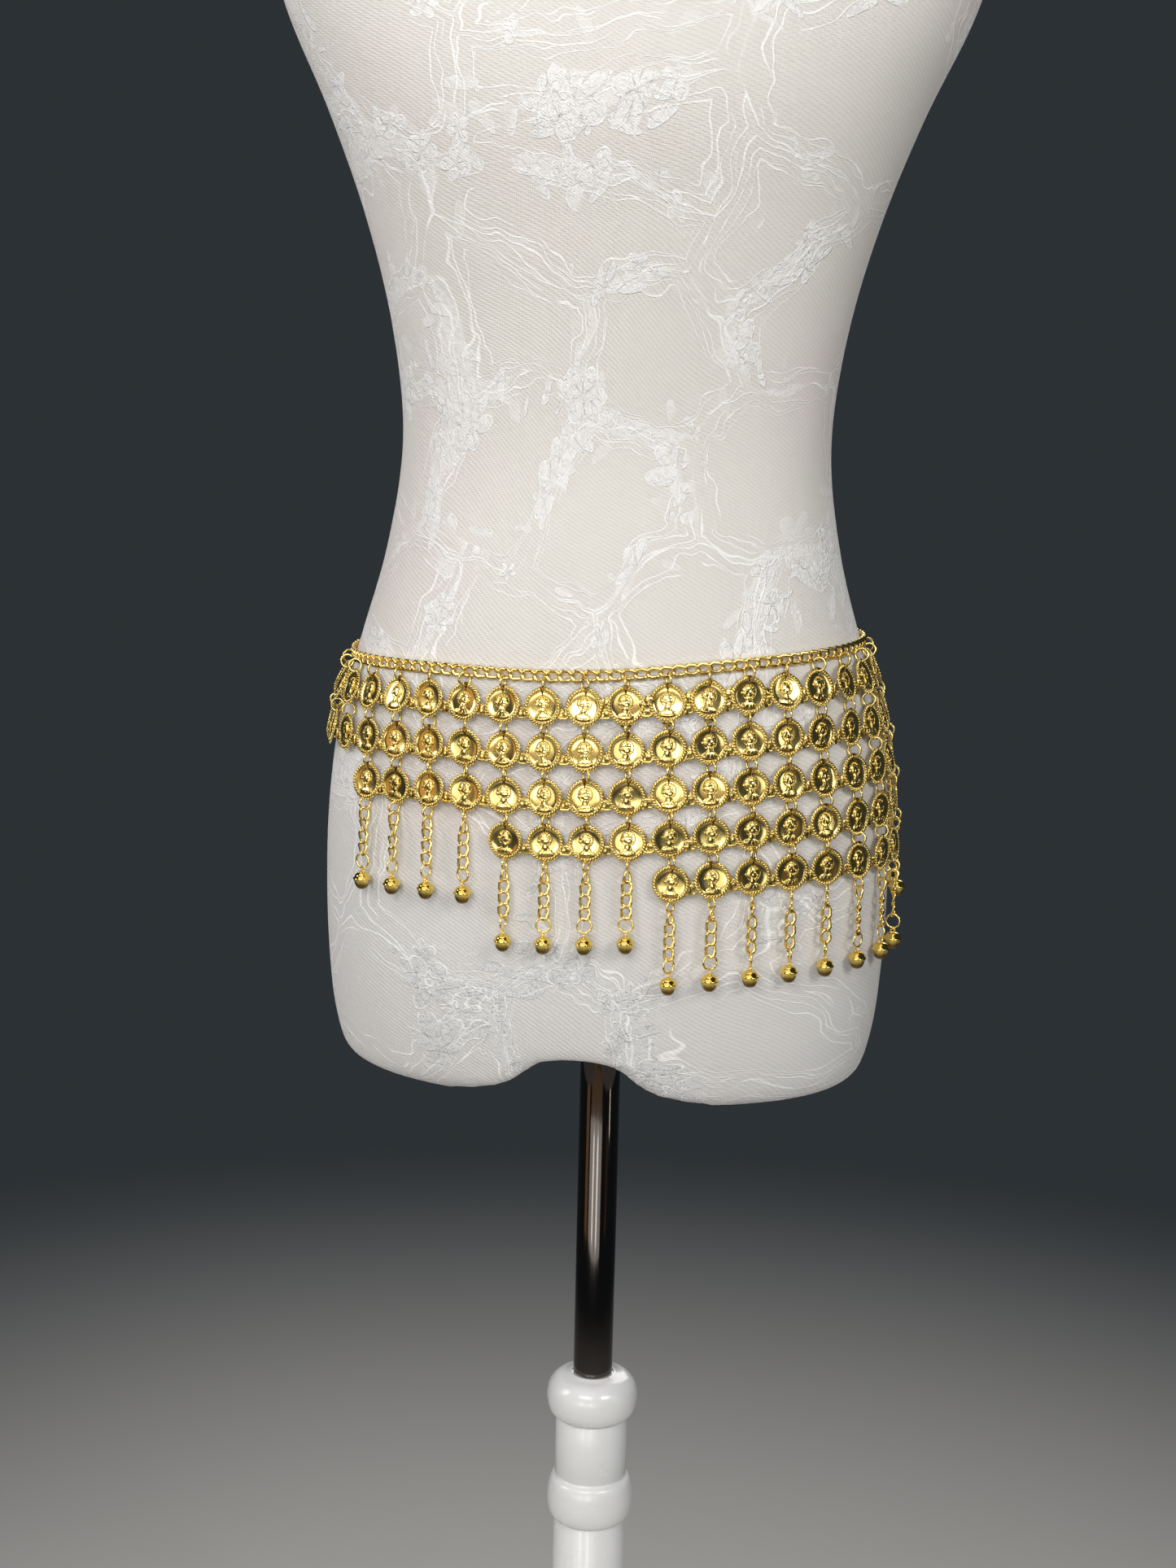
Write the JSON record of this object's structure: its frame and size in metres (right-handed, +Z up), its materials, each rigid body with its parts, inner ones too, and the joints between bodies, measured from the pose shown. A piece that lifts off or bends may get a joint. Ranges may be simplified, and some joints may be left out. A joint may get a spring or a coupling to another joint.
{
  "type": "coin waist chain on dress form",
  "caption": "Gold coin waist chain with rows of linked coins and small bells, worn on a limbless white dress form on a round-based pole stand.",
  "frame": {"origin": "on the floor, on the axis of the pole, under the middle of the dress form", "axes": "+Z up along the pole, -Y towards the form's front, +X towards the form's own left side, where the net is deepest"},
  "size_m": [0.4056, 0.35, 1.56],
  "materials": {
    "gold_plate": "bright polished gold-coloured plating on stamped metal",
    "white_cover": "white stretch lace over ivory jersey, matt with satin motifs",
    "dark_chrome": "polished chrome tube",
    "white_paint": "white gloss paint on turned wood"
  },
  "bodies": {
    "root": {"stand_base": "white_paint", "stand_post": "white_paint", "pole": "dark_chrome", "dress_form": "white_cover", "waist_chain_right": "gold_plate", "waist_chain_left": "gold_plate", "chain_clasp": "gold_plate", "coin_panel_a": "gold_plate", "coin_panel_b": "gold_plate", "coin_panel_c": "gold_plate", "coin_panel_d": "gold_plate", "coin_panel_e": "gold_plate", "coin_panel_f": "gold_plate", "coin_panel_g": "gold_plate", "coin_panel_h": "gold_plate", "bell_pendant_05": "gold_plate", "bell_pendant_06": "gold_plate", "bell_pendant_07": "gold_plate", "bell_pendant_08": "gold_plate", "bell_pendant_09": "gold_plate", "bell_pendant_10": "gold_plate", "bell_pendant_11": "gold_plate", "bell_pendant_12": "gold_plate", "bell_pendant_13": "gold_plate", "bell_pendant_14": "gold_plate", "bell_pendant_15": "gold_plate", "bell_pendant_16": "gold_plate", "bell_pendant_17": "gold_plate", "bell_pendant_18": "gold_plate", "bell_pendant_19": "gold_plate", "bell_pendant_20": "gold_plate", "bell_pendant_21": "gold_plate", "bell_pendant_22": "gold_plate", "bell_pendant_23": "gold_plate", "bell_pendant_24": "gold_plate", "bell_pendant_25": "gold_plate", "bell_pendant_26": "gold_plate", "bell_pendant_27": "gold_plate", "bell_pendant_28": "gold_plate"}
  },
  "joints": []
}
